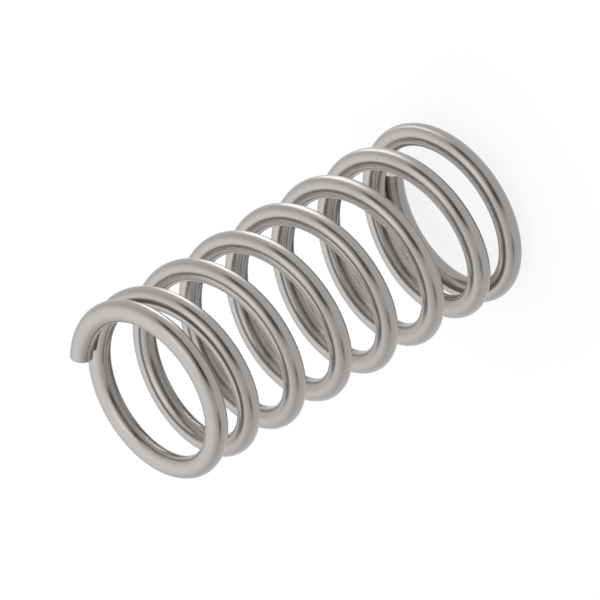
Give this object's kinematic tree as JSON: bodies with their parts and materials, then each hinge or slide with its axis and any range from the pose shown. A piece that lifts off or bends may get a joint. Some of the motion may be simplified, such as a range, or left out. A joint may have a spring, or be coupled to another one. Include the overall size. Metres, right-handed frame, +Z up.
{
  "type": "compression spring",
  "caption": "Helical compression spring of round steel wire with closed, unground ends, which pushes back when squeezed along its axis.",
  "frame": {"origin": "on the coil's axis, level with the lowest point of the wire, where the spring stands", "axes": "+Z up along the coil's axis; +X from the axis through both wire tips, which lie one above the other"},
  "size_m": [0.0087, 0.0086, 0.02],
  "materials": {
    "spring_wire": "satin"
  },
  "bodies": {
    "root": {"spring": "spring_wire"}
  },
  "joints": []
}
